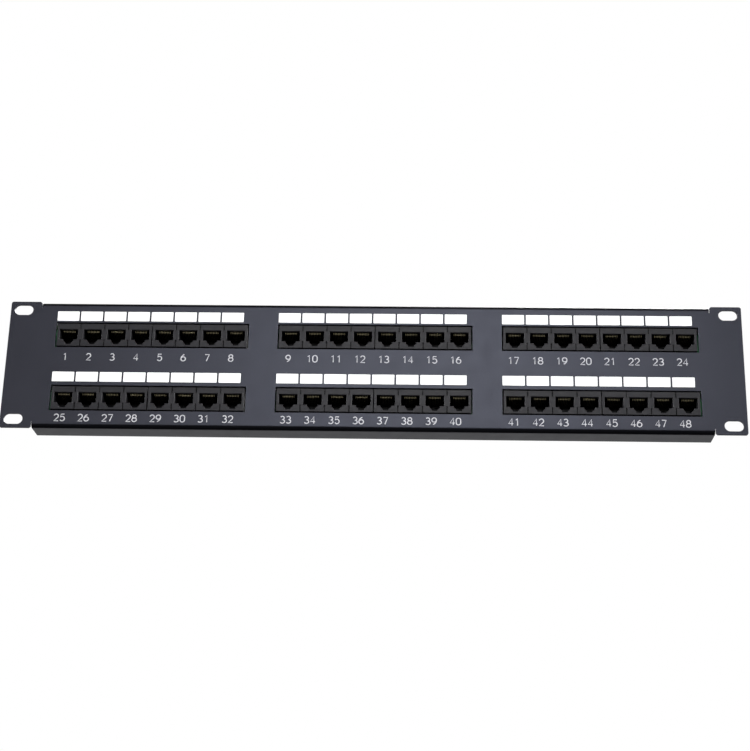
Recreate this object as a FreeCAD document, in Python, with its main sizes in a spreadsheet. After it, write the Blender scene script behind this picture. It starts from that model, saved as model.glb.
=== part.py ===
import FreeCAD, Part
import os
from math import cos, radians, sin, tan

import Sketcher

# A 48-port, two-unit, 19-inch rack patch panel.
# X runs to the right seen from the front, Y runs to the rear, Z runs up.
# The origin is the centre of the four rack slots, on the rear face of the ears,
# which is the face that rests on the rack's rails.

Vector = FreeCAD.Vector

DIMENSIONS = {
    # folded steel front
    "panel_width": 482.6,
    "panel_height": 88.1,
    "sheet_thickness": 1.5,
    "ear_round": 1.5,
    "slot_pitch_across": 465.1,
    "slot_pitch_up": 76.2,
    "slot_length": 12.3,
    "slot_width": 7.1,
    "fold_length": 440.6,
    "fold_inset": 0.4,
    "flange_depth": 18.0,
    "bend_round": 2.8,
    "notch_width": 0.4,
    "notch_depth": 4.2,
    "notch_flare": 1.0,
    # grid of ports
    "port_pitch": 15.85,
    "group_pitch": 147.2,
    "row_pitch": 44.0,
    "grid_middle_across": 1.4,
    "grid_middle_up": -1.3,
    "window_margin_across": 1.0,
    "window_height": 17.5,
    # write-on fields above the windows
    "field_pitch": 15.65,
    "field_middle_across": -0.4,
    "field_middle_up": 12.6,
    "field_row_pitch": 42.65,
    "field_width": 14.45,
    "field_height": 6.65,
    "field_thickness": 0.1,
    "field_round": 0.4,
    # four-port jack block
    "block_gap": 0.7,
    "block_height": 15.5,
    "rim_height": 1.8,
    "rim_thickness": 2.0,
    "fit_gap": 0.05,
    "plug_width": 12.1,
    "plug_top": 3.85,
    "plug_height": 7.0,
    "key_width": 7.0,
    "key_height": 0.8,
    "latch_width": 4.0,
    "latch_height": 3.25,
    "latch_slope": 1.5,
    "cavity_depth": 13.6,
    "mouth_chamfer": 0.25,
    "groove_width": 0.8,
    "groove_depth": 0.9,
    "lip_thickness": 1.9,
    # insert that carries the eight springs of one port
    "insert_width": 8.9,
    "insert_height": 2.5,
    "insert_setback": 2.0,
    "comb_length": 3.4,
    "comb_drop": 2.75,
    "comb_rib": 0.3,
    # one contact spring
    "spring_count": 8,
    "spring_pitch": 1.02,
    "spring_width": 0.5,
    "spring_thickness": 0.3,
    "spring_bend": 1.35,
    "spring_front_gap": 0.4,
    "spring_reach": 8.1,
    "spring_slope": 7.7,
    "spring_tail": 0.8,
    # printed circuit board
    "board_front": 15.0,
    "board_thickness": 1.6,
    "board_width": 142.0,
    "board_height": 34.0,
    "board_hole": 3.4,
    "fixing_pitch_across": 135.6,
    "fixing_pitch_up": 26.0,
    # posts and screws that hold the board
    "post_across_flats": 5.0,
    "post_bore": 3.0,
    "post_bore_depth": 8.0,
    "screw_shank": 2.9,
    "screw_length": 6.0,
    "screw_head": 5.6,
    "screw_head_height": 2.1,
    "screw_head_round": 0.9,
    "recess_span": 3.2,
    "recess_width": 0.8,
    "recess_depth": 1.1,
    # punch-down block for the eight wires of one port
    "punch_pitch": 31.7,
    "punch_row_pitch": 21.2,
    "punch_width": 31.3,
    "punch_base": 9.4,
    "punch_top": 6.6,
    "punch_depth": 13.4,
    "punch_foot": 4.2,
    "wire_pitch": 3.9,
    "wire_slot": 0.9,
    "wire_mouth": 2.5,
    "wire_mouth_depth": 2.6,
    "wire_slot_depth": 8.2,
    "blade_gap": 0.1,
    "blade_width": 2.6,
    "blade_thickness": 0.5,
    "blade_height": 11.2,
    "blade_fork": 0.4,
    "blade_fork_depth": 6.0,
    "blade_mouth": 1.7,
    "blade_mouth_depth": 1.2,
    # wiring guide strip between the punch-down rows
    "strip_width": 124.0,
    "strip_height": 8.6,
    "strip_thickness": 0.15,
}

PORTS_PER_GROUP = 8
PORTS_PER_BLOCK = 4

doc = FreeCAD.newDocument("patch_panel")
sheet = doc.addObject("Spreadsheet::Sheet", "dims")
for row, (alias, number) in enumerate(DIMENSIONS.items(), start=1):
    sheet.set(f"A{row}", alias)
    sheet.set(f"B{row}", str(number))
    sheet.setAlias(f"B{row}", alias)
doc.recompute()

subparts = []


def size(expression):
    """Value in millimetres of an expression in the sheet's aliases, such as 'dims.slot_width / 2'."""
    return float(sheet.evalExpression(expression))


# ---------------------------------------------------------------- helpers


def bind(target, **expressions):
    for name, expression in expressions.items():
        target.setExpression(name, expression)


def new_body(name):
    return doc.addObject("PartDesign::Body", name)


def new_sketch(body, name, role="XZ_Plane", shift=None):
    """A sketch on one of the body's own origin planes, moved along the plane's normal by shift."""
    sketch = body.newObject("Sketcher::SketchObject", name)
    plane = next(item for item in body.Origin.OriginFeatures if item.Role == role)
    sketch.AttachmentSupport = [(plane, "")]
    sketch.MapMode = "FlatFace"
    if shift:
        sketch.setExpression("AttachmentOffset.Base.z", shift)
    return sketch


def place_point(sketch, geometry, point, across, up):
    """Hold a point of the sketch at two expressions measured from the sketch's origin."""
    for kind, axis, expression in (("DistanceX", -2, across), ("DistanceY", -1, up)):
        value = size(expression)
        if abs(value) < 1e-9:
            sketch.addConstraint(Sketcher.Constraint("PointOnObject", geometry, point, axis))
            continue
        index = sketch.addConstraint(Sketcher.Constraint(kind, -1, 1, geometry, point, value))
        sketch.setExpression(f"Constraints[{index}]", expression)


def add_outline(sketch, points):
    """A closed loop of straight lines through points, each a pair of expressions."""
    first = sketch.GeometryCount
    corners = [Vector(size(across), size(up), 0) for across, up in points]
    followers = corners[1:] + corners[:1]
    sketch.addGeometry([Part.LineSegment(a, b) for a, b in zip(corners, followers)], False)
    for index, (across, up) in enumerate(points):
        follower = first + (index + 1) % len(points)
        sketch.addConstraint(Sketcher.Constraint("Coincident", first + index, 2, follower, 1))
        place_point(sketch, first + index, 1, across, up)


def add_rectangle(sketch, across, up, width, height):
    """A rectangle round the middle (across, up)."""
    left, right = f"{across} - {width} / 2", f"{across} + {width} / 2"
    low, high = f"{up} - {height} / 2", f"{up} + {height} / 2"
    add_outline(sketch, [(left, low), (right, low), (right, high), (left, high)])


def add_slot(sketch, across, up):
    """A round-ended rack slot lying along X round the middle (across, up)."""
    first = sketch.GeometryCount
    radius = size("dims.slot_width / 2")
    half = size("(dims.slot_length - dims.slot_width) / 2")
    middle = Vector(size(across), size(up), 0)
    quarter = radians(90)
    ends = []
    for side, start, stop in ((1, -quarter, quarter), (-1, quarter, 3 * quarter)):
        circle = Part.Circle(middle + Vector(side * half, 0, 0), Vector(0, 0, 1), radius)
        ends.append(Part.ArcOfCircle(circle, start, stop))
    top = Part.LineSegment(middle + Vector(half, radius, 0), middle + Vector(-half, radius, 0))
    foot = Part.LineSegment(middle + Vector(-half, -radius, 0), middle + Vector(half, -radius, 0))
    sketch.addGeometry([ends[0], top, ends[1], foot], False)
    for index in range(4):
        follower = first + (index + 1) % 4
        sketch.addConstraint(Sketcher.Constraint("Tangent", first + index, 2, follower, 1))
    reach = "(dims.slot_length - dims.slot_width) / 2"
    place_point(sketch, first, 3, f"{across} + {reach}", up)
    place_point(sketch, first + 2, 3, f"{across} - {reach}", up)
    index = sketch.addConstraint(Sketcher.Constraint("Radius", first, radius))
    sketch.setExpression(f"Constraints[{index}]", "dims.slot_width / 2")


def add_circle(sketch, across, up, radius):
    circle = Part.Circle(Vector(size(across), size(up), 0), Vector(0, 0, 1), size(radius))
    index = sketch.addGeometry(circle, False)
    place_point(sketch, index, 3, across, up)
    constraint = sketch.addConstraint(Sketcher.Constraint("Radius", index, size(radius)))
    sketch.setExpression(f"Constraints[{constraint}]", radius)


def pad(body, sketch, name, length, reverse=False, middle=False):
    feature = body.newObject("PartDesign::Pad", name)
    feature.Profile = sketch
    feature.Reversed = reverse
    feature.Midplane = middle
    bind(feature, Length=length)
    doc.recompute()
    return feature


def pocket(body, sketch, name, depth=None, reverse=False, middle=False):
    """Cut the sketch to a depth, or right through, and make sure that material went."""
    before = body.Shape.Volume
    feature = body.newObject("PartDesign::Pocket", name)
    feature.Profile = sketch
    feature.Reversed = reverse
    feature.Midplane = middle
    if depth:
        bind(feature, Length=depth)
    else:
        feature.Type = "ThroughAll"
    doc.recompute()
    if body.Shape.Volume >= before:
        raise RuntimeError(f"{name} cut nothing")
    return feature


def pattern(body, originals, name, count, span):
    """Repeat features along X, count times over the whole span."""
    feature = body.newObject("PartDesign::LinearPattern", name)
    feature.Originals = originals
    axis = next(item for item in body.Origin.OriginFeatures if item.Role == "X_Axis")
    feature.Direction = (axis, [""])
    feature.Occurrences = count
    bind(feature, Length=span)
    body.Tip = feature
    doc.recompute()
    return feature


def edge_names(shape, wanted):
    """Names of the straight edges whose middle and direction pass the test."""
    names = []
    for index, edge in enumerate(shape.Edges, start=1):
        start, end = edge.Vertexes[0].Point, edge.Vertexes[-1].Point
        if wanted((start + end) / 2, end - start):
            names.append(f"Edge{index}")
    return names


def dress(body, kind, name, wanted, **sizes):
    """Fillet or Chamfer on the edges of the body's tip that pass the test."""
    base = body.Tip
    feature = body.newObject(f"PartDesign::{kind}", name)
    feature.Base = (base, edge_names(base.Shape, wanted))
    bind(feature, **sizes)
    body.Tip = feature
    doc.recompute()
    return feature


def along_x(vector):
    return abs(vector.x) > 0.99 * vector.Length


def along_y(vector):
    return abs(vector.y) > 0.99 * vector.Length


def close(value, target):
    return abs(value - target) < 1e-4


def keep(feature, label):
    feature.Label = label
    subparts.append(feature)


def group(label, master, places):
    """One node that holds a copy of the master piece, as its own solid, at each place."""
    solids = []
    for place in places:
        solid = master.Shape.copy()
        solid.translate(place)
        solids.append(solid)
    feature = doc.addObject("Part::Feature", label)
    feature.Shape = Part.makeCompound(solids)
    keep(feature, label)
    return feature


# ---------------------------------------------------------------- layout


def row_height(row):
    """Middle of a row of windows: row 0 is the upper one."""
    return size("dims.grid_middle_up") + (0.5 - row) * size("dims.row_pitch")


def group_middles():
    """Middle of each eight-port module, left to right, upper row first."""
    step, middle = size("dims.group_pitch"), size("dims.grid_middle_across")
    return [Vector(middle + side * step, 0, row_height(row)) for row in (0, 1) for side in (-1, 0, 1)]


def spread(middles, count, step):
    """Places of count things spaced by step along X round each middle."""
    offsets = [(index - (count - 1) / 2) * step for index in range(count)]
    return [middle + Vector(offset, 0, 0) for middle in middles for offset in offsets]


def board_corners():
    """Fixing points of every board."""
    across, up = size("dims.fixing_pitch_across") / 2, size("dims.fixing_pitch_up") / 2
    corners = [Vector(x, 0, z) for x in (-across, across) for z in (-up, up)]
    return [middle + corner for middle in group_middles() for corner in corners]


# ---------------------------------------------------------------- folded steel front


def make_front_panel():
    body = new_body("front_panel_body")
    ear, top = "dims.panel_width / 2", "dims.panel_height / 2"
    fold, fold_top = "dims.fold_length / 2", "(dims.panel_height / 2 - dims.fold_inset)"
    step, notch = "(dims.fold_length / 2 + dims.notch_width)", "(dims.panel_height / 2 - dims.notch_depth)"
    corner = [(ear, top), (f"({step} + dims.notch_flare)", top), (step, f"({top} - dims.notch_flare)"),
              (step, notch), (fold, notch), (fold, fold_top)]
    upper = corner + [(f"-{across}", up) for across, up in reversed(corner)]
    lower = [(across, f"-{up}") for across, up in reversed(upper)]

    plate = new_sketch(body, "plate_outline")
    add_outline(plate, upper + lower)
    pad(body, plate, "plate", "dims.sheet_thickness")

    flanges = new_sketch(body, "flange_section")
    middle = f"({fold_top} - dims.sheet_thickness / 2)"
    for sign in ("", "-"):
        add_rectangle(flanges, "0", f"{sign}{middle}", "dims.fold_length", "dims.sheet_thickness")
    pad(body, flanges, "flanges", "dims.flange_depth - dims.sheet_thickness", reverse=True)

    windows = new_sketch(body, "left_windows")
    width = "(8 * dims.port_pitch - dims.block_gap + 2 * dims.window_margin_across)"
    across = "(dims.grid_middle_across - dims.group_pitch)"
    for sign in ("+", "-"):
        up = f"(dims.grid_middle_up {sign} dims.row_pitch / 2)"
        add_rectangle(windows, across, up, width, "dims.window_height")
    cut = pocket(body, windows, "window_pair", middle=True)
    pattern(body, [cut], "windows", 3, "2 * dims.group_pitch")

    slots = new_sketch(body, "rack_slots")
    for across in ("-dims.slot_pitch_across / 2", "dims.slot_pitch_across / 2"):
        for up in ("-dims.slot_pitch_up / 2", "dims.slot_pitch_up / 2"):
            add_slot(slots, across, up)
    pocket(body, slots, "slots", middle=True)

    edge, bend = size("dims.panel_width / 2"), size(fold_top)
    face, inside = -size("dims.sheet_thickness"), bend - size("dims.sheet_thickness")
    dress(body, "Fillet", "inner_bends",
          lambda middle, way: along_x(way) and close(middle.y, 0) and close(abs(middle.z), inside),
          Radius="dims.bend_round - dims.sheet_thickness")
    dress(body, "Fillet", "outer_bends",
          lambda middle, way: along_x(way) and close(middle.y, face) and close(abs(middle.z), bend),
          Radius="dims.bend_round")
    dress(body, "Fillet", "ear_corners",
          lambda middle, way: along_y(way) and close(abs(middle.x), edge),
          Radius="dims.ear_round")
    keep(body, "front_panel")


def make_write_on_fields():
    body = new_body("write_on_field")
    outline = new_sketch(body, "field_outline", shift="dims.sheet_thickness")
    add_rectangle(outline, "0", "0", "dims.field_width", "dims.field_height")
    pad(body, outline, "field", "dims.field_thickness")
    dress(body, "Fillet", "field_corners", lambda middle, way: along_y(way), Radius="dims.field_round")
    middle, step = size("dims.field_middle_across"), size("dims.group_pitch")
    heights = [size("dims.field_middle_up") + sign * size("dims.field_row_pitch") / 2 for sign in (1, -1)]
    middles = [Vector(middle + side * step, 0, height) for height in heights for side in (-1, 0, 1)]
    group("write_on_fields", body, spread(middles, PORTS_PER_GROUP, size("dims.field_pitch")))


# ---------------------------------------------------------------- jacks


def make_jack_blocks():
    """Four keyed sockets in one moulding, with the latch slot of each at the bottom."""
    body = new_body("jack_block")
    first = "(-1.5 * dims.port_pitch)"
    block_width = "(4 * dims.port_pitch - dims.block_gap)"
    length = "dims.board_front + dims.sheet_thickness - dims.fit_gap"
    face = new_sketch(body, "block_face", shift="dims.sheet_thickness")
    add_rectangle(face, "0", "0", block_width, "dims.block_height")
    pad(body, face, "block", length, reverse=True)

    rim = new_sketch(body, "rim_outline", shift="-dims.fit_gap")
    add_rectangle(rim, "0", "0", block_width, "(dims.block_height + 2 * dims.rim_height)")
    pad(body, rim, "rim", "dims.rim_thickness", reverse=True)

    opening = new_sketch(body, "socket_outline", shift="dims.sheet_thickness")
    top, low = "dims.plug_top", "(dims.plug_top - dims.plug_height)"
    key_low = f"({low} - dims.key_height)"
    slope_low = f"({key_low} - dims.latch_slope)"
    foot = f"({low} - dims.latch_height)"
    right = [("dims.plug_width", top), ("dims.plug_width", low), ("dims.key_width", low),
             ("dims.key_width", key_low), ("dims.latch_width", slope_low), ("dims.latch_width", foot)]
    outline = [(f"{first} + {width} / 2", up) for width, up in right]
    outline += [(f"{first} - {width} / 2", up) for width, up in reversed(right)]
    add_outline(opening, outline)
    socket = pocket(body, opening, "socket", "dims.cavity_depth")

    seat = new_sketch(body, "insert_seat", shift="dims.sheet_thickness - dims.lip_thickness")
    seat_height = "(dims.insert_height + 4 * dims.fit_gap)"
    add_rectangle(seat, first, f"(dims.plug_top + {seat_height} / 2)",
                  "(dims.insert_width + 2 * dims.fit_gap)", seat_height)
    channel = pocket(body, seat, "insert_channel", "dims.board_front")
    pattern(body, [socket, channel], "sockets", PORTS_PER_BLOCK, "3 * dims.port_pitch")

    grooves = new_sketch(body, "groove_outline", shift="dims.sheet_thickness")
    across = "(-dims.port_pitch)"
    half = "(dims.block_height / 2)"
    for high, bottom in ((half, "dims.plug_top"), (low, f"-{half}")):
        add_rectangle(grooves, across, f"({high} + {bottom}) / 2", "dims.groove_width",
                      f"({high} - {bottom})")
    groove = pocket(body, grooves, "groove_pair", "dims.groove_depth")
    pattern(body, [groove], "grooves", PORTS_PER_BLOCK - 1, "2 * dims.port_pitch")

    front, reach = -size("dims.sheet_thickness"), size("dims.block_height / 2 - dims.mouth_chamfer")
    socket_half = size("dims.plug_width / 2") + 1e-3

    def at_mouth(middle, way):
        if not close(middle.y, front) or along_y(way) or abs(middle.z) > reach:
            return False
        return any(abs(middle.x - place.x) < socket_half
                   for place in spread([Vector()], PORTS_PER_BLOCK, size("dims.port_pitch")))

    dress(body, "Chamfer", "mouths", at_mouth, Size="dims.mouth_chamfer")
    pair = spread(group_middles(), PORTS_PER_GROUP // PORTS_PER_BLOCK,
                  size("dims.port_pitch") * PORTS_PER_BLOCK)
    group("jack_blocks", body, pair)


def make_contact_inserts(ports):
    """Insert that holds the roots of one port's springs, with a comb that keeps their tips apart."""
    body = new_body("contact_insert")
    front = "(dims.lip_thickness - dims.sheet_thickness + dims.insert_setback)"
    low = "(dims.plug_top + 2 * dims.fit_gap)"
    outline = new_sketch(body, "insert_outline", shift=f"-{front}")
    add_rectangle(outline, "0", f"({low} + dims.insert_height / 2)", "dims.insert_width",
                  "dims.insert_height")
    pad(body, outline, "insert", f"dims.board_front - dims.fit_gap - {front}", reverse=True)

    comb_end = "(dims.cavity_depth - dims.sheet_thickness - dims.fit_gap)"
    rib = new_sketch(body, "rib_outline", shift=f"-({comb_end} - dims.comb_length)")
    add_rectangle(rib, "(-4 * dims.spring_pitch)", f"({low} - dims.comb_drop / 2 + dims.fit_gap)",
                  "dims.comb_rib", "(dims.comb_drop + 2 * dims.fit_gap)")
    first = pad(body, rib, "rib", "dims.comb_length", reverse=True)
    pattern(body, [first], "comb", int(size("dims.spring_count")) + 1, "8 * dims.spring_pitch")
    group("contact_inserts", body, ports)


def spring_side(offset):
    """Edges of one side of a spring in the YZ plane, at an offset from its middle line."""
    root_up = size("dims.plug_top + 2 * dims.fit_gap + dims.insert_height / 2")
    root_back = size("dims.lip_thickness - dims.sheet_thickness + dims.insert_setback - dims.fit_gap")
    bend = size("dims.spring_bend")
    front = size("dims.lip_thickness - dims.sheet_thickness + dims.spring_front_gap + dims.spring_thickness / 2")
    middle = Vector(0, front + bend, root_up - bend)
    slope = radians(size("dims.spring_slope"))

    def on_bend(turned):
        """Point of the bend, turned by an angle from its top towards the front."""
        return middle + Vector(0, -sin(turned), cos(turned)) * (bend + offset)

    half_turn = radians(180)
    tip_back = middle.y + size("dims.spring_reach")
    tip_up = middle.z - bend / cos(slope) - tan(slope) * size("dims.spring_reach")
    kink = Vector(0, tip_back - offset * tan(slope / 2), tip_up - offset)
    points = [Vector(0, root_back, root_up + offset), on_bend(0),
              on_bend(half_turn - slope), kink, Vector(0, tip_back + size("dims.spring_tail"), tip_up - offset)]
    curve = Part.Arc(points[1], on_bend((half_turn - slope) / 2), points[2]).toShape()
    return points, [Part.makeLine(points[0], points[1]), curve,
                    Part.makeLine(points[2], points[3]), Part.makeLine(points[3], points[4])]


def make_spring():
    """Flat gold strip: out of the insert, round the front bend, then back and down into the socket."""
    half = size("dims.spring_thickness / 2")
    outer_points, outer = spring_side(half)
    inner_points, inner = spring_side(-half)
    ends = [Part.makeLine(outer_points[end], inner_points[end]) for end in (0, -1)]
    face = Part.Face(Part.Wire(Part.__sortEdges__(outer + inner + ends)))
    width = size("dims.spring_width")
    face.translate(Vector(-width / 2, 0, 0))
    return face.extrude(Vector(width, 0, 0))


def make_contact_springs(ports):
    """Eight gold springs for each port; each port's set is a node of its own, because it moves."""
    spring = doc.addObject("Part::Feature", "contact_spring")
    spring.Shape = make_spring()
    offsets = spread([Vector()], int(size("dims.spring_count")), size("dims.spring_pitch"))
    for number, port in enumerate(ports, start=1):
        label = f"port_{number:02d}_contacts"
        feature = group(label, spring, offsets)
        feature.Placement = FreeCAD.Placement(port, FreeCAD.Rotation())


# ---------------------------------------------------------------- boards


def make_circuit_boards():
    body = new_body("circuit_board")
    outline = new_sketch(body, "board_outline", shift="-dims.board_front")
    add_rectangle(outline, "0", "0", "dims.board_width", "dims.board_height")
    for across in ("-dims.fixing_pitch_across / 2", "dims.fixing_pitch_across / 2"):
        for up in ("-dims.fixing_pitch_up / 2", "dims.fixing_pitch_up / 2"):
            add_circle(outline, across, up, "dims.board_hole / 2")
    pad(body, outline, "board", "dims.board_thickness", reverse=True)
    dress(body, "Fillet", "board_corners",
          lambda middle, way: along_y(way) and close(abs(middle.x), size("dims.board_width / 2")),
          Radius="dims.ear_round")
    group("circuit_boards", body, group_middles())


TO_REAR = FreeCAD.Rotation(Vector(1, 0, 0), -90)


def cylinder(name, radius, height, front):
    """A cylinder along Y whose front end is at the given expression."""
    part = doc.addObject("Part::Cylinder", name)
    part.Placement = FreeCAD.Placement(Vector(), TO_REAR)
    bind(part, Radius=radius, Height=height)
    part.setExpression("Placement.Base.y", front)
    return part


def make_board_posts():
    """Hexagonal threaded posts, pressed into the rear of the sheet."""
    post = doc.addObject("Part::Prism", "post_hexagon")
    post.Polygon = 6
    post.Placement = FreeCAD.Placement(Vector(), TO_REAR)
    bind(post, Circumradius="dims.post_across_flats / sqrt(3)", Height="dims.board_front")
    bore = cylinder("post_bore", "dims.post_bore / 2", "dims.post_bore_depth",
                    "dims.board_front - dims.post_bore_depth")
    cut = doc.addObject("Part::Cut", "board_post")
    cut.Base, cut.Tool = post, bore
    doc.recompute()
    group("board_posts", cut, board_corners())


def make_board_screws():
    """Pan-head cross-recess screws, driven from the rear."""
    rear = "(dims.board_front + dims.board_thickness)"
    shank = cylinder("screw_shank", "dims.screw_shank / 2", "dims.screw_length + dims.screw_head_height / 2",
                     f"{rear} - dims.screw_length")
    head = cylinder("screw_head", "dims.screw_head / 2", "dims.screw_head_height", rear)
    doc.recompute()
    crown = doc.addObject("Part::Fillet", "screw_crown")
    crown.Base = head
    crown_edge = next(index for index, edge in enumerate(head.Shape.Edges, start=1)
                      if close(edge.CenterOfMass.y, size(f"{rear} + dims.screw_head_height")))
    crown.Edges = [(crown_edge, size("dims.screw_head_round"), size("dims.screw_head_round"))]
    whole = doc.addObject("Part::Fuse", "screw_blank")
    whole.Base, whole.Tool = crown, shank
    arms = []
    for name, width, height in (("recess_across", "dims.recess_span", "dims.recess_width"),
                                ("recess_up", "dims.recess_width", "dims.recess_span")):
        arm = doc.addObject("Part::Box", name)
        bind(arm, Length=width, Width="2 * dims.recess_depth", Height=height)
        arm.setExpression("Placement.Base.x", f"-{width} / 2")
        arm.setExpression("Placement.Base.y", f"{rear} + dims.screw_head_height - dims.recess_depth")
        arm.setExpression("Placement.Base.z", f"-{height} / 2")
        arms.append(arm)
    cross = doc.addObject("Part::Fuse", "screw_recess")
    cross.Base, cross.Tool = arms
    cut = doc.addObject("Part::Cut", "board_screw")
    cut.Base, cut.Tool = whole, cross
    doc.recompute()
    group("board_screws", cut, board_corners())


# ---------------------------------------------------------------- punch-down side


def punch_places():
    """Middle of each port's punch-down block: two rows of four behind each module."""
    rise = Vector(0, 0, size("dims.punch_row_pitch") / 2)
    middles = [middle + rise * side for middle in group_middles() for side in (1, -1)]
    return spread(middles, 4, size("dims.punch_pitch"))


def make_punch_blocks():
    """Tapered comb with eight wire slots, each crossed by a pocket for its blade."""
    body = new_body("punch_block")
    board = "(dims.board_front + dims.board_thickness + dims.fit_gap)"
    rear = f"({board} + dims.punch_depth)"
    section = new_sketch(body, "punch_section", role="YZ_Plane")
    right = [(board, "dims.punch_base"), (f"({board} + dims.punch_foot)", "dims.punch_base"),
             (rear, "dims.punch_top")]
    outline = [(deep, f"-{wide} / 2") for deep, wide in right]
    outline += [(deep, f"{wide} / 2") for deep, wide in reversed(right)]
    add_outline(section, outline)
    pad(body, section, "comb_body", "dims.punch_width", middle=True)

    slot = new_sketch(body, "wire_slot_outline", role="XY_Plane")
    middle = "(-3.5 * dims.wire_pitch)"
    levels = [(f"{rear} + 1", "dims.wire_mouth"), (rear, "dims.wire_mouth"),
              (f"{rear} - dims.wire_mouth_depth", "dims.wire_slot"),
              (f"{rear} - dims.wire_slot_depth", "dims.wire_slot")]
    outline = [(f"{middle} + {wide} / 2", deep) for deep, wide in levels]
    outline += [(f"{middle} - {wide} / 2", deep) for deep, wide in reversed(levels)]
    add_outline(slot, outline)
    first = pocket(body, slot, "wire_slot", middle=True)
    pattern(body, [first], "wire_slots", 8, "7 * dims.wire_pitch")

    hole = new_sketch(body, "blade_hole_outline")
    add_rectangle(hole, middle, "0", "(dims.blade_width + 2 * dims.blade_gap)",
                  "(dims.blade_thickness + 2 * dims.blade_gap)")
    first = pocket(body, hole, "blade_hole", middle=True)
    pattern(body, [first], "blade_holes", 8, "7 * dims.wire_pitch")
    group("punch_down_blocks", body, punch_places())


def make_punch_blades():
    """Forked blades that cut through the insulation of each wire."""
    body = new_body("punch_blade")
    base = "(dims.board_front + dims.board_thickness + 2 * dims.fit_gap)"
    tip = f"({base} + dims.blade_height)"
    levels = [("dims.blade_width", base), ("dims.blade_width", tip), ("dims.blade_mouth", tip),
              ("dims.blade_fork", f"({tip} - dims.blade_mouth_depth)"),
              ("dims.blade_fork", f"({tip} - dims.blade_fork_depth)")]
    outline = [(f"{wide} / 2", deep) for wide, deep in levels]
    outline += [(f"-{wide} / 2", deep) for wide, deep in reversed(levels)]
    fork = new_sketch(body, "blade_outline", role="XY_Plane")
    add_outline(fork, outline)
    pad(body, fork, "blade", "dims.blade_thickness", middle=True)
    group("punch_down_blades", body, spread(punch_places(), 8, size("dims.wire_pitch")))


def make_wiring_strips():
    """Thin guide strip that shows the wire order, stuck to the rear of each board."""
    body = new_body("wiring_strip")
    rear = "(dims.board_front + dims.board_thickness + dims.fit_gap)"
    outline = new_sketch(body, "strip_outline", shift=f"-{rear}")
    add_rectangle(outline, "0", "0", "dims.strip_width", "dims.strip_height")
    pad(body, outline, "strip", "dims.strip_thickness", reverse=True)
    dress(body, "Fillet", "strip_corners", lambda middle, way: along_y(way), Radius="dims.field_round")
    group("wiring_strips", body, group_middles())


# ---------------------------------------------------------------- build, check, write


def check(feature):
    if {"Invalid", "Error"} & set(feature.State):
        raise RuntimeError(f"{feature.Label} failed to build: {feature.State}")


ports = spread(group_middles(), PORTS_PER_GROUP, size("dims.port_pitch"))
make_front_panel()
make_write_on_fields()
make_jack_blocks()
make_contact_inserts(ports)
make_contact_springs(ports)
make_circuit_boards()
make_board_posts()
make_board_screws()
make_punch_blocks()
make_punch_blades()
make_wiring_strips()
doc.recompute()

for item in doc.Objects:
    check(item)
os.makedirs("parts", exist_ok=True)
for subpart in subparts:
    if subpart.Shape.isNull() or not subpart.Shape.isValid():
        raise RuntimeError(f"{subpart.Label} has no valid shape")
for subpart in subparts:
    subpart.Shape.exportStep(f"parts/{subpart.Label}.step")
print(len(subparts), "nodes written")
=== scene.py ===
"""Looks of a two-unit, 48-port patch panel, built round its CAD frame. Metres; X right, Y rear, Z up."""

import math

import bmesh
import bpy
from mathutils import Matrix, Vector


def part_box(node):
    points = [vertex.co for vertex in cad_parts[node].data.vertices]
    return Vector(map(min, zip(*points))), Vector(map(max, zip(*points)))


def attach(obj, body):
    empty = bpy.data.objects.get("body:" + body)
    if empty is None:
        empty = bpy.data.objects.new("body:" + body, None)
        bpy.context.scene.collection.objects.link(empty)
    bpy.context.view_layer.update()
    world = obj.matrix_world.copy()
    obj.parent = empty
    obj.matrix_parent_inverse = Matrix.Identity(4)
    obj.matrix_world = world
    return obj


MM = 0.001
PANEL = "panel"
PORTS = 48
PORTS_PER_ROW = 24
WIRES = 8
# How far print stands off the rear strips.
PRINT_LIFT = 0.01 * MM
# A module's own pieces lie within both distances of its middle, a neighbour's outside one of them.
REACH_ACROSS = 70 * MM
REACH_UP = 20 * MM
# Socket numbers of Blender's colour mix node.
MIX_FACTOR, MIX_FIRST, MIX_SECOND, MIX_RESULT = 0, 6, 7, 2

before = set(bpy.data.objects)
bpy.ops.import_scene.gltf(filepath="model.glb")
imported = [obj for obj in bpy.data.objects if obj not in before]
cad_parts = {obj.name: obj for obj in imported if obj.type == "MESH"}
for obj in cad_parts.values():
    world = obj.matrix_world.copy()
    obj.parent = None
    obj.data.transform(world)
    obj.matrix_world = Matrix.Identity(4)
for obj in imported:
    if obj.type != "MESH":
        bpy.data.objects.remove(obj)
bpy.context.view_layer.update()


# ---------------------------------------------------------------- places, from the frame


def node_pieces(node):
    """Boxes (low, high) of the separate solids in a node, found by their shared vertices."""
    steps_per_metre = 1e7
    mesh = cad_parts[node].data
    parent = list(range(len(mesh.vertices)))

    def root(index):
        while parent[index] != index:
            parent[index] = parent[parent[index]]
            index = parent[index]
        return index

    at_place = {}
    for vertex in mesh.vertices:
        key = tuple(round(value * steps_per_metre) for value in vertex.co)
        parent[vertex.index] = root(at_place.setdefault(key, vertex.index))
    for edge in mesh.edges:
        parent[root(edge.vertices[0])] = root(edge.vertices[1])
    groups = {}
    for vertex in mesh.vertices:
        groups.setdefault(root(vertex.index), []).append(vertex.co)
    boxes = []
    for points in groups.values():
        low = Vector([min(point[axis] for point in points) for axis in range(3)])
        high = Vector([max(point[axis] for point in points) for axis in range(3)])
        boxes.append((low, high))
    return boxes


def middles(node):
    return [(low + high) / 2 for low, high in node_pieces(node)]


# ---------------------------------------------------------------- material helpers


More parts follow.
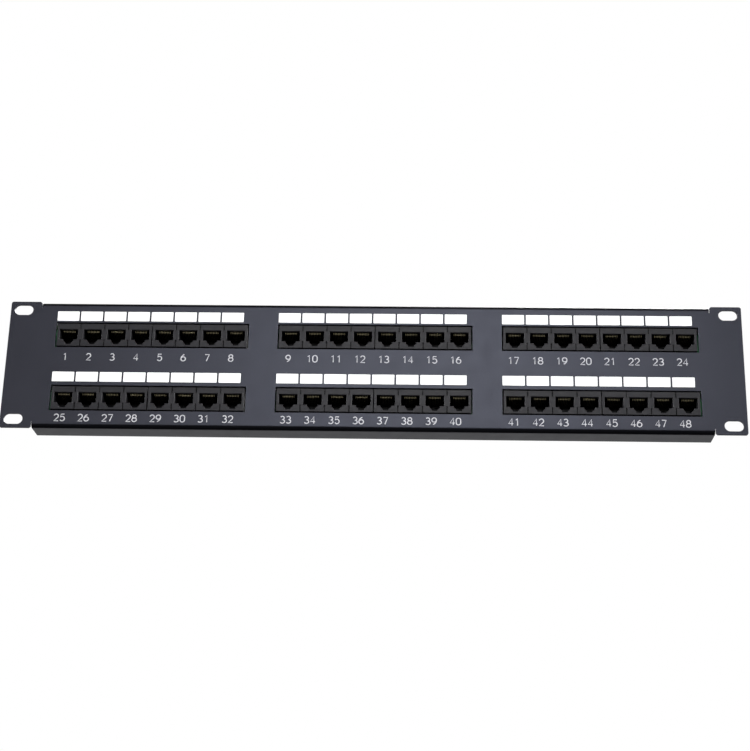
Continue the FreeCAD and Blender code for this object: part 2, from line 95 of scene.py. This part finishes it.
class Paint:
    """A material under construction: short names for the nodes that this scene uses."""

    def __init__(self, name):
        self.material = bpy.data.materials.new(name)
        self.material.use_nodes = True
        self.nodes = self.material.node_tree.nodes
        self.links = self.material.node_tree.links
        self.shader = self.nodes["Principled BSDF"]
        self.place = self.nodes.new("ShaderNodeTexCoord").outputs["Object"]

    def set(self, **values):
        for name, value in values.items():
            socket = self.shader.inputs[name.replace("_", " ")]
            if isinstance(value, bpy.types.NodeSocket):
                self.links.new(value, socket)
            else:
                socket.default_value = value
        return self

    def stretched(self, scale):
        """The object's coordinates, in metres, multiplied by a factor for each axis."""
        node = self.nodes.new("ShaderNodeMapping")
        node.inputs["Scale"].default_value = scale
        self.links.new(self.place, node.inputs["Vector"])
        return node.outputs["Vector"]

    def noise(self, grain, detail, place=None):
        """Noise whose features are about grain metres across."""
        node = self.nodes.new("ShaderNodeTexNoise")
        node.inputs["Scale"].default_value = 1 / grain
        node.inputs["Detail"].default_value = detail
        self.links.new(place or self.place, node.inputs["Vector"])
        return node.outputs["Fac"]

    def cells(self, grain, feature="F1", metric="EUCLIDEAN", place=None):
        node = self.nodes.new("ShaderNodeTexVoronoi")
        node.feature = feature
        if feature != "DISTANCE_TO_EDGE":
            node.distance = metric
        node.inputs["Scale"].default_value = 1 / grain
        self.links.new(place or self.place, node.inputs["Vector"])
        return node.outputs["Distance"]

    def ramp(self, factor, *stops):
        """Colour ramp; each stop is (place, grey value or colour)."""
        node = self.nodes.new("ShaderNodeValToRGB")
        elements = node.color_ramp.elements
        while len(elements) < len(stops):
            elements.new(0.5)
        for element, (place, colour) in zip(elements, stops):
            element.position = place
            element.color = (*colour, 1) if isinstance(colour, tuple) else (colour, colour, colour, 1)
        self.links.new(factor, node.inputs["Fac"])
        return node.outputs["Color"]

    def mix(self, factor, first, second, kind="MIX"):
        node = self.nodes.new("ShaderNodeMix")
        node.data_type = "RGBA"
        node.blend_type = kind
        for socket, value in ((MIX_FACTOR, factor), (MIX_FIRST, first), (MIX_SECOND, second)):
            if isinstance(value, bpy.types.NodeSocket):
                self.links.new(value, node.inputs[socket])
            elif isinstance(value, tuple):
                node.inputs[socket].default_value = (*value, 1)
            else:
                node.inputs[socket].default_value = value
        return node.outputs[MIX_RESULT]

    def bump(self, height, distance, strength, over=None):
        node = self.nodes.new("ShaderNodeBump")
        node.inputs["Distance"].default_value = distance
        node.inputs["Strength"].default_value = strength
        self.links.new(height, node.inputs["Height"])
        if over is not None:
            self.links.new(over, node.inputs["Normal"])
        return node.outputs["Normal"]

    def soft_edge(self, radius):
        """Normals that round each sharp edge over by a radius."""
        node = self.nodes.new("ShaderNodeBevel")
        node.samples = 4
        node.inputs["Radius"].default_value = radius
        return node.outputs["Normal"]

    def edges(self, rounded):
        """Near 1 where the rounded normal leaves the surface's own, so on edges, and 0 elsewhere."""
        geometry = self.nodes.new("ShaderNodeNewGeometry")
        dot = self.nodes.new("ShaderNodeVectorMath")
        dot.operation = "DOT_PRODUCT"
        self.links.new(rounded, dot.inputs[0])
        self.links.new(geometry.outputs["Normal"], dot.inputs[1])
        return self.ramp(dot.outputs["Value"], (0.80, 1.0), (0.995, 0.0))

    def openness(self, distance):
        """Near 1 on open surfaces and falling to 0 deep in holes, grooves and corners."""
        node = self.nodes.new("ShaderNodeAmbientOcclusion")
        node.samples = 6
        node.inputs["Distance"].default_value = distance
        return node.outputs["AO"]

    def facing(self, axis):
        """How much the true surface faces along an axis, without sign."""
        geometry = self.nodes.new("ShaderNodeNewGeometry")
        split = self.nodes.new("ShaderNodeSeparateXYZ")
        size = self.nodes.new("ShaderNodeMath")
        size.operation = "ABSOLUTE"
        self.links.new(geometry.outputs["True Normal"], split.inputs[0])
        self.links.new(split.outputs[axis], size.inputs[0])
        return size.outputs[0]

    def fade(self, value, start, end, low, high):
        """Runs smoothly from low to high while the value runs from start to end."""
        node = self.nodes.new("ShaderNodeMapRange")
        node.interpolation_type = "SMOOTHSTEP"
        self.links.new(value, node.inputs["Value"])
        for name, number in (("From Min", start), ("From Max", end), ("To Min", low), ("To Max", high)):
            node.inputs[name].default_value = number
        return node.outputs["Result"]

    def between(self, first, second):
        """Near 1 where the true surface faces neither axis but between the two, as on a bend."""
        both = self.nodes.new("ShaderNodeMath")
        both.operation = "MULTIPLY"
        self.links.new(self.facing(first), both.inputs[0])
        self.links.new(self.facing(second), both.inputs[1])
        return self.ramp(both.outputs[0], (0.08, 0.0), (0.30, 1.0))


def painted_steel():
    """Satin black powder coat: fine orange peel, faint cloudiness, brighter edges, painted shade on darker
    duller bends.
    """
    paint = Paint("black_powder_coat")
    rounded = paint.soft_edge(0.25 * MM)
    clouds = paint.ramp(paint.noise(60 * MM, 4), (0.35, (0.0090, 0.0085, 0.0115)),
                        (0.7, (0.0120, 0.0115, 0.0155)))
    specks = paint.ramp(paint.noise(0.35 * MM, 2), (0.45, 0.85), (0.62, 1.12))
    colour = paint.mix(1.0, clouds, specks, "MULTIPLY")
    colour = paint.mix(paint.edges(rounded), colour, (0.03, 0.03, 0.034))
    # Painted shade: the bends are painted near black and their sheen is cut, so they look shaded.
    bend_shade = paint.between("Y", "Z")
    colour = paint.mix(bend_shade, colour, (0.0015, 0.0015, 0.002))
    gloss = paint.ramp(bend_shade, (0.0, 0.5), (1.0, 0.10))
    rough = paint.ramp(paint.noise(9 * MM, 5), (0.3, 0.385), (0.75, 0.43))
    peel = paint.bump(paint.noise(0.7 * MM, 2), 0.012 * MM, 1.0, over=rounded)
    paint.set(Base_Color=colour, Specular_IOR_Level=gloss, Roughness=rough, Normal=peel, IOR=1.52)
    return paint.set(Specular_Tint=(0.76, 0.81, 1.0, 1)).material


def moulded_black(name, colour, roughness, grain, sheen=0.36):
    """Black moulding with a fine spark-eroded grain and paler edges, and painted shade: dark and dull where
    shut in.
    """
    shut_in = 7 * MM
    paint = Paint(name)
    rounded = paint.soft_edge(0.12 * MM)
    dark = tuple(value * 0.8 for value in colour)
    tone = paint.ramp(paint.noise(5 * MM, 4), (0.3, dark), (0.7, colour))
    tone = paint.mix(paint.edges(rounded), tone, tuple(value * 2.0 for value in colour))
    # Painted shade: colour and sheen fall towards black deep in holes and other shut-in places.
    painted_shade = paint.ramp(paint.openness(shut_in), (0.25, 0.02), (0.80, 1.0))
    tone = paint.mix(1.0, tone, painted_shade, "MULTIPLY")
    gloss = paint.ramp(paint.openness(shut_in), (0.25, 0.01), (0.80, sheen))
    rough = paint.ramp(paint.noise(2 * MM, 3), (0.3, roughness - 0.06), (0.7, roughness + 0.06))
    texture = paint.bump(paint.cells(grain), 0.02 * MM, 0.6, over=rounded)
    paint.set(Base_Color=tone, Specular_IOR_Level=gloss, Roughness=rough, Normal=texture, IOR=1.5)
    return paint.material


def write_on_film():
    """Matt white film with a slight paper tooth and a trace of handling grey."""
    paint = Paint("write_on_film")
    tooth = paint.noise(0.25 * MM, 3)
    tone = paint.ramp(paint.noise(7 * MM, 4), (0.3, (0.84, 0.84, 0.84)), (0.6, (0.93, 0.93, 0.93)))
    tone = paint.mix(0.06, tone, paint.ramp(tooth, (0.4, 0.7), (0.6, 1.0)), "MULTIPLY")
    normal = paint.bump(tooth, 0.01 * MM, 0.5)
    return paint.set(Base_Color=tone, Roughness=0.62, Normal=normal).material


def printed_ink():
    """Screen-printed off-white ink, a little uneven in cover."""
    paint = Paint("screen_ink")
    cover = paint.noise(0.3 * MM, 3)
    tone = paint.ramp(cover, (0.35, (0.34, 0.34, 0.36)), (0.6, (0.52, 0.52, 0.55)))
    return paint.set(Base_Color=tone, Roughness=0.5, Normal=paint.bump(cover, 0.01 * MM, 0.4)).material


def plated(name, light, dark, roughness, streak, shaded=1.0):
    """Plated metal with fine drawn streaks and duller patches; shaded is the share of colour kept deep in
    holes, as painted shade.
    """
    paint = Paint(name)
    patches = paint.noise(1.5 * MM, 4)
    lines = paint.noise(0.08 * MM, 2, paint.stretched(streak))
    tone = paint.ramp(patches, (0.35, dark), (0.65, light))
    # Painted shade: the colour is darkened deep in holes, down to the share given by shaded.
    if shaded < 1:
        painted_shade = paint.ramp(paint.openness(7 * MM), (0.3, shaded), (1.0, 1.0))
        tone = paint.mix(1.0, tone, painted_shade, "MULTIPLY")
    rough = paint.ramp(lines, (0.3, roughness - 0.08), (0.7, roughness + 0.08))
    normal = paint.bump(lines, 0.004 * MM, 0.5, over=paint.soft_edge(0.05 * MM))
    return paint.set(Base_Color=tone, Metallic=1.0, Roughness=rough, Normal=normal).material


def circuit_board():
    """Green solder mask over tracks, bare glass epoxy on the cut edges, and painted shade: dark and dull
    where shut in.
    """
    shut_in = 16 * MM
    paint = Paint("solder_mask")
    tracks = paint.cells(4.2 * MM, "DISTANCE_TO_EDGE", place=paint.stretched((1.0, 0.0, 0.35)))
    copper = paint.ramp(tracks, (0.05, 1.0), (0.09, 0.0))
    pour = paint.ramp(paint.cells(17 * MM, "F1", "CHEBYCHEV"), (0.50, 1.0), (0.52, 0.0))
    mask = paint.mix(paint.noise(14 * MM, 3), (0.006, 0.055, 0.022), (0.010, 0.075, 0.03))
    mask = paint.mix(paint.mix(1.0, copper, pour, "MULTIPLY"), mask, (0.03, 0.17, 0.065))
    weave = paint.ramp(paint.noise(0.4 * MM, 2), (0.4, (0.32, 0.28, 0.14)), (0.6, (0.45, 0.40, 0.22)))
    on_face = paint.ramp(paint.facing("Y"), (0.45, 0.0), (0.55, 1.0))
    tone = paint.mix(on_face, weave, mask)
    # Painted shade: colour and sheen fall towards black where the board is shut in behind the panel.
    shade = paint.ramp(paint.openness(shut_in), (0.25, 0.03), (0.75, 1.0))
    tone = paint.mix(1.0, tone, shade, "MULTIPLY")
    gloss = paint.ramp(paint.openness(shut_in), (0.25, 0.02), (0.75, 0.5))
    rough = paint.ramp(paint.noise(6 * MM, 3), (0.3, 0.24), (0.7, 0.36))
    normal = paint.bump(copper, 0.03 * MM, 0.5, over=paint.soft_edge(0.1 * MM))
    return paint.set(Base_Color=tone, Specular_IOR_Level=gloss, Roughness=rough, Normal=normal).material


def printed_colour(name, colour):
    """Printed band of the wire-order strip, with slightly uneven cover."""
    paint = Paint(name)
    cover = paint.noise(0.5 * MM, 3)
    faded = tuple(0.75 * value + 0.05 for value in colour)
    tone = paint.ramp(cover, (0.35, faded), (0.65, colour))
    return paint.set(Base_Color=tone, Roughness=0.55, Normal=paint.bump(cover, 0.01 * MM, 0.3)).material


def solder():
    """Bright solder with dull cold patches."""
    paint = Paint("solder")
    patches = paint.noise(0.5 * MM, 3)
    tone = paint.ramp(patches, (0.35, (0.42, 0.43, 0.45)), (0.65, (0.70, 0.71, 0.72)))
    rough = paint.ramp(patches, (0.3, 0.42), (0.7, 0.22))
    return paint.set(Base_Color=tone, Metallic=1.0, Roughness=rough,
                     Normal=paint.bump(patches, 0.03 * MM, 0.5)).material


def dress_node(node, material):
    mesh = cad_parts[node].data
    mesh.materials.clear()
    mesh.materials.append(material)


def dress_cad():
    """Give every CAD node its finish."""
    dress_node("front_panel", painted_steel())
    dress_node("write_on_fields", write_on_film())
    dress_node("jack_blocks", moulded_black("jack_moulding", (0.0135, 0.0132, 0.0160), 0.44, 0.16 * MM, 0.25))
    dress_node("contact_inserts", moulded_black("insert_moulding", (0.012, 0.012, 0.013), 0.5, 0.2 * MM))
    dress_node("punch_down_blocks", moulded_black("punch_moulding", (0.020, 0.020, 0.022), 0.46, 0.2 * MM))
    dress_node("circuit_boards", circuit_board())
    dress_node("wiring_strips", write_on_film())
    zinc = plated("zinc_plate", (0.78, 0.78, 0.76), (0.58, 0.59, 0.58), 0.34, (1.0, 0.15, 1.0))
    for node in ("board_posts", "board_screws"):
        dress_node(node, zinc)
    tin = plated("tin_plate", (0.80, 0.79, 0.76), (0.62, 0.61, 0.57), 0.30, (1.0, 0.1, 1.0))
    dress_node("punch_down_blades", tin)
    # The gold keeps only 4 % of its colour deep in the jacks, as painted shade.
    gold = plated("gold_plate", (0.82, 0.73, 0.46), (0.62, 0.54, 0.33), 0.30, (1.0, 0.1, 0.1), shaded=0.04)
    for number in range(1, PORTS + 1):
        dress_node(f"port_{number:02d}_contacts", gold)


# ---------------------------------------------------------------- mesh helpers


def add_piece(name, mesh, material):
    piece = bpy.data.objects.new(name, mesh)
    bpy.context.scene.collection.objects.link(piece)
    mesh.materials.append(material)
    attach(piece, PANEL)


def mesh_of(name, vertices, faces):
    mesh = bpy.data.meshes.new(name)
    mesh.from_pydata(vertices, [], faces)
    mesh.validate()
    return mesh


# ---------------------------------------------------------------- numerals

ARC_STEP = math.radians(15)


def arc(across, up, wide, high, start, stop):
    """Points of an elliptical arc between two angles in degrees."""
    start, stop = math.radians(start), math.radians(stop)
    steps = max(2, round(abs(stop - start) / ARC_STEP))
    angles = [start + (stop - start) * index / steps for index in range(steps + 1)]
    return [(across + wide * math.cos(a), up + high * math.sin(a)) for a in angles]


def turned(stroke, width):
    """A stroke turned half round inside a cell of the given width."""
    return [(width - across, 1 - up) for across, up in stroke]


DIGIT_WIDTH = 0.64
SIX = [arc(0.32, 0.31, 0.32, 0.31, 0, 360), arc(0.66, 0.31, 0.66, 0.69, 180, 108)]
STROKES = {
    "0": [arc(0.32, 0.66, 0.32, 0.34, 0, 180) + arc(0.32, 0.34, 0.32, 0.34, 180, 360) + [(0.64, 0.66)]],
    "1": [[(0.16, 0.80), (0.38, 1.0), (0.38, 0.0)]],
    "2": [arc(0.31, 0.70, 0.30, 0.30, 165, -38) + [(0.02, 0.0), (0.64, 0.0)]],
    "3": [arc(0.30, 0.76, 0.26, 0.24, 150, -90) + arc(0.30, 0.26, 0.32, 0.26, 90, -150)],
    "4": [[(0.47, 0.0), (0.47, 1.0), (0.0, 0.28), (0.64, 0.28)]],
    "5": [[(0.58, 1.0), (0.12, 1.0), (0.07, 0.55)] + arc(0.31, 0.33, 0.32, 0.33, 125, -150)],
    "6": SIX,
    "7": [[(0.02, 1.0), (0.62, 1.0), (0.24, 0.0)]],
    "8": [arc(0.32, 0.76, 0.26, 0.24, 0, 360), arc(0.32, 0.27, 0.32, 0.27, 0, 360)],
    "9": [turned(stroke, DIGIT_WIDTH) for stroke in SIX],
}


def numeral_strokes(number, middle, height, mirrored=False):
    """Strokes of a number, centred on a point of the XZ plane; mirrored to be read from the rear."""
    text = str(number)
    gap = 0.22
    step = (DIGIT_WIDTH + gap) * height
    left = -(len(text) * step - gap * height) / 2
    side = -1 if mirrored else 1
    strokes = []
    for index, digit in enumerate(text):
        for stroke in STROKES[digit]:
            points = [(left + index * step + across * height, (up - 0.5) * height) for across, up in stroke]
            strokes.append([Vector((middle.x + side * x, middle.y, middle.z + z)) for x, z in points])
    return strokes


def ink_mesh(name, strokes, width, thickness):
    """Strokes as flat-topped beads of ink with round ends, standing on the XZ plane."""
    curve = bpy.data.curves.new(name, "CURVE")
    curve.dimensions = "3D"
    curve.bevel_depth = width / 2
    curve.bevel_resolution = 2
    curve.use_fill_caps = True
    for points in strokes:
        spline = curve.splines.new("POLY")
        spline.points.add(len(points) - 1)
        for point, place in zip(spline.points, points):
            point.co = (*place, 1)
    holder = bpy.data.objects.new(name, curve)
    bpy.context.scene.collection.objects.link(holder)
    graph = bpy.context.evaluated_depsgraph_get()
    mesh = bpy.data.meshes.new_from_object(holder.evaluated_get(graph))
    bpy.data.objects.remove(holder)
    level = strokes[0][0].y
    for vertex in mesh.vertices:
        vertex.co.y = level + (vertex.co.y - level) * 2 * thickness / width
    mesh.materials.clear()
    return mesh


def port_numbers():
    """Numbers 1 to 48 under the ports, centred on their write-on fields."""
    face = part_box("front_panel")[0].y
    fields = sorted(middles("write_on_fields"), key=lambda place: (-round(place.z, 3), place.x))
    height, stroke, thickness = 4.6 * MM, 0.68 * MM, 0.03 * MM
    upper_drop, lower_drop = 28.7 * MM, 28.25 * MM
    strokes = []
    for number, place in enumerate(fields, start=1):
        drop = upper_drop if number <= PORTS_PER_ROW else lower_drop
        strokes += numeral_strokes(number, Vector((place.x, face, place.z - drop)), height)
    add_piece("port_numbers", ink_mesh("port_numbers", strokes, stroke, thickness), printed_ink())


# ---------------------------------------------------------------- rear details


def strip_bands():
    """Colour bands that show the order of the four wire pairs, on the strips behind the boards."""
    colours = {"blue": (0.02, 0.10, 0.45), "orange": (0.80, 0.22, 0.02),
               "green": (0.02, 0.30, 0.08), "brown": (0.18, 0.07, 0.03)}
    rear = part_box("wiring_strips")[1].y + PRINT_LIFT
    strips = node_pieces("wiring_strips")
    blades = middles("punch_down_blades")
    tile = Vector((3.3 * MM, 0, 1.7 * MM))
    inset = 1.15 * MM
    margin = 1 * MM
    stripe_share = 0.22
    stripe_shift = 0.30
    tiles = {name: [] for name in colours}
    for low, high in strips:
        near = [place for place in blades if low.x - margin < place.x < high.x + margin
                and abs(place.z - (low.z + high.z) / 2) < REACH_UP]
        for edge, above in ((high.z - inset, True), (low.z + inset, False)):
            row = sorted((place.x for place in near if (place.z > edge) == above))
            for index, across in enumerate(row):
                name = list(colours)[(index % WIRES) // 2]
                middle = Vector((across, rear, edge))
                if index % 2:
                    tiles[name].append((middle, tile))
                else:
                    for side in (-1, 1):
                        stripe = Vector((tile.x, 0, tile.z * stripe_share))
                        tiles[name].append((middle + Vector((0, 0, side * tile.z * stripe_shift)), stripe))
    for name, colour in colours.items():
        mesh = tile_mesh(f"wire_order_{name}", tiles[name])
        add_piece(f"wire_order_{name}", mesh, printed_colour(f"print_{name}", colour))


def tile_mesh(name, tiles):
    """Thin raised rectangles of print, each given by its middle and size on the XZ plane."""
    thickness = 0.03 * MM
    build = bmesh.new()
    for middle, size in tiles:
        shape = Matrix.Translation(middle) @ Matrix.Diagonal((size.x, thickness, size.z, 1))
        bmesh.ops.create_cube(build, size=1, matrix=shape)
    mesh = bpy.data.meshes.new(name)
    build.to_mesh(mesh)
    build.free()
    return mesh


def strip_numbers():
    """Port numbers on the rear strips, readable from behind."""
    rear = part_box("wiring_strips")[1].y + PRINT_LIFT
    strokes = []
    boards = sorted(middles("circuit_boards"), key=lambda place: (-round(place.z, 3), place.x))
    blocks = middles("punch_down_blocks")
    height, stroke, thickness = 1.9 * MM, 0.30 * MM, 0.02 * MM
    from_middle = 1.25 * MM
    number = 0
    for board in boards:
        for above in (True, False):
            near = sorted((place for place in blocks
                           if abs(place.x - board.x) < REACH_ACROSS and abs(place.z - board.z) < REACH_UP
                           and (place.z > board.z) == above), key=lambda place: place.x)
            for place in near:
                number += 1
                side = 1 if above else -1
                middle = Vector((place.x, rear, board.z + side * from_middle))
                strokes += numeral_strokes(number, middle, height, mirrored=True)
    mesh = ink_mesh("strip_numbers", strokes, stroke, thickness)
    add_piece("strip_numbers", mesh, printed_colour("print_black", (0.02, 0.02, 0.02)))


def solder_joint(build, middle, toward, radius, height):
    """A dished cone of solder round a pin, growing from middle along Y in the given direction."""
    sides = 10
    profile = [(1.0, 0.0), (0.78, 0.16), (0.50, 0.48), (0.36, 0.80), (0.30, 1.0), (0.18, 1.12)]
    rings = []
    for reach, rise in profile:
        ring = []
        for index in range(sides):
            angle = 2 * math.pi * index / sides
            place = Vector((radius * reach * math.cos(angle), toward * height * rise,
                            radius * reach * math.sin(angle)))
            ring.append(build.verts.new(middle + place))
        rings.append(ring)
    for lower, upper in zip(rings, rings[1:]):
        for index in range(sides):
            after = (index + 1) % sides
            build.faces.new((lower[index], lower[after], upper[after], upper[index]))
    build.faces.new(rings[-1])
    build.faces.new(list(reversed(rings[0])))


def solder_joints():
    """Joints of the contact springs behind each board, and of the punch-down blades in front of it."""
    root_below_top = 0.15 * MM
    spring_radius, spring_height = 0.40 * MM, 0.75 * MM
    blade_radius, blade_height = 0.70 * MM, 0.9 * MM
    front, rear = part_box("circuit_boards")[0].y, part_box("circuit_boards")[1].y
    pitch = 1.02 * MM
    build = bmesh.new()
    for number in range(1, PORTS + 1):
        low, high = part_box(f"port_{number:02d}_contacts")
        height = high.z - root_below_top
        for index in range(WIRES):
            across = (low.x + high.x) / 2 + (index - (WIRES - 1) / 2) * pitch
            solder_joint(build, Vector((across, rear, height)), 1, spring_radius, spring_height)
    finish_joints(build, "spring_solder_joints")
    build = bmesh.new()
    for place in middles("punch_down_blades"):
        solder_joint(build, Vector((place.x, front, place.z)), -1, blade_radius, blade_height)
    finish_joints(build, "blade_solder_joints")


def finish_joints(build, name):
    bmesh.ops.recalc_face_normals(build, faces=build.faces)
    mesh = bpy.data.meshes.new(name)
    build.to_mesh(mesh)
    build.free()
    mesh.shade_smooth()
    add_piece(name, mesh, SOLDER)


# ---------------------------------------------------------------- stage, light, camera


def pale_floor():
    """For the camera it glows pale grey, white far off; in reflections it glows only far behind."""
    paint = Paint("pale_floor")
    tone = paint.mix(paint.noise(0.8, 2), (0.60, 0.60, 0.60), (0.57, 0.57, 0.57))
    split = paint.nodes.new("ShaderNodeSeparateXYZ")
    paint.links.new(paint.place, split.inputs[0])
    behind = paint.fade(split.outputs["Y"], 2.0, 4.0, 0.0, 0.62)
    away = paint.nodes.new("ShaderNodeVectorMath")
    away.operation = "LENGTH"
    paint.links.new(paint.place, away.inputs[0])
    nearby = paint.fade(away.outputs["Value"], 2.5, 7.5, 0.80, 1.0)
    seen = paint.nodes.new("ShaderNodeLightPath").outputs["Is Camera Ray"]
    glow = paint.mix(seen, behind, nearby)
    return paint.set(Base_Color=tone, Roughness=0.9, Emission_Color=glow, Emission_Strength=1.0).material


def make_floor():
    """Plain pale floor well under the panel."""
    reach = 9.0
    drop = 1.6
    corners = [(-reach, -reach, -drop), (reach, -reach, -drop), (reach, reach, -drop), (-reach, reach, -drop)]
    floor = bpy.data.objects.new("floor", mesh_of("floor", corners, [(0, 1, 2, 3)]))
    bpy.context.scene.collection.objects.link(floor)
    floor.data.materials.append(pale_floor())


def make_world():
    """White for the camera; in reflections pale grey behind the panel and dim everywhere else."""
    world = bpy.data.worlds.new("studio")
    bpy.context.scene.world = world
    world.use_nodes = True
    nodes, links = world.node_tree.nodes, world.node_tree.links
    background = nodes["Background"]
    place = nodes.new("ShaderNodeTexCoord")
    split = nodes.new("ShaderNodeSeparateXYZ")
    links.new(place.outputs["Generated"], split.inputs[0])
    ramp = nodes.new("ShaderNodeValToRGB")
    dim, pale = (0.018, 0.018, 0.02, 1), (0.66, 0.66, 0.66, 1)
    for element, position, colour in zip(ramp.color_ramp.elements, (0.52, 0.85), (dim, pale)):
        element.position = position
        element.color = colour
    # A direction's Y runs from -1 to 1, and the ramp's place from 0 to 1.
    half = 0.5
    shift = nodes.new("ShaderNodeMath")
    shift.operation = "MULTIPLY_ADD"
    shift.inputs[1].default_value = half
    shift.inputs[2].default_value = half
    links.new(split.outputs["Y"], shift.inputs[0])
    links.new(shift.outputs[0], ramp.inputs["Fac"])
    path = nodes.new("ShaderNodeLightPath")
    seen = nodes.new("ShaderNodeMix")
    seen.data_type = "RGBA"
    seen.inputs[MIX_SECOND].default_value = (1, 1, 1, 1)
    links.new(path.outputs["Is Camera Ray"], seen.inputs[MIX_FACTOR])
    links.new(ramp.outputs["Color"], seen.inputs[MIX_FIRST])
    links.new(seen.outputs[MIX_RESULT], background.inputs["Color"])
    background.inputs["Strength"].default_value = 1.0


def aim(thing, target):
    thing.rotation_euler = (target - thing.location).to_track_quat("-Z", "Y").to_euler()


def soft_box(name, place, target, size, power, spread):
    """A rectangular light turned to a target, with its power in watts and its spread in degrees."""
    light = bpy.data.lights.new(name, "AREA")
    light.shape = "RECTANGLE"
    light.size, light.size_y = size
    light.energy = power
    light.spread = math.radians(spread)
    box = bpy.data.objects.new(name, light)
    box.location = place
    aim(box, target)
    bpy.context.scene.collection.objects.link(box)


def make_lights(middle):
    """One box mirrored in the face for its sheen, one at each side for the whites, and one behind."""
    soft_box("sheen_box", Vector((0.05, -1.25, 0.46)), middle, size=(0.60, 0.40), power=0.56, spread=50)
    for side in (-1, 1):
        place = Vector((side * 1.75, -0.75, 0.30))
        soft_box("side_box", place, middle, size=(0.7, 0.7), power=3.6, spread=40)
    soft_box("rear_box", Vector((0.5, 1.5, 1.05)), middle, size=(1.0, 1.0), power=9.0, spread=40)


def make_camera(middle):
    """Seen from the front, 20 degrees below and a little to the right of the panel's middle."""
    below = math.radians(20)
    right = math.radians(2.08)
    roll = math.radians(1.25)
    distance = 1.035
    off_middle = Vector((2 * MM, 0, -6 * MM))
    data = bpy.data.cameras.new("camera")
    data.lens = 76.2
    camera = bpy.data.objects.new("camera", data)
    away = Vector((math.sin(right) * math.cos(below), -math.cos(right) * math.cos(below), -math.sin(below)))
    target = middle + off_middle
    camera.location = target + away * distance
    turn = (target - camera.location).to_track_quat("-Z", "Y").to_matrix()
    camera.rotation_euler = (turn @ Matrix.Rotation(roll, 3, "Z")).to_euler()
    bpy.context.scene.collection.objects.link(camera)
    bpy.context.scene.camera = camera


# ---------------------------------------------------------------- build

dress_cad()
SOLDER = solder()
port_numbers()
strip_bands()
strip_numbers()
solder_joints()
make_floor()
make_world()
panel_middle = (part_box("front_panel")[0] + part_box("front_panel")[1]) / 2
make_lights(panel_middle)
make_camera(Vector((panel_middle.x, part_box("front_panel")[0].y, panel_middle.z)))
bpy.context.scene.view_settings.view_transform = "Standard"
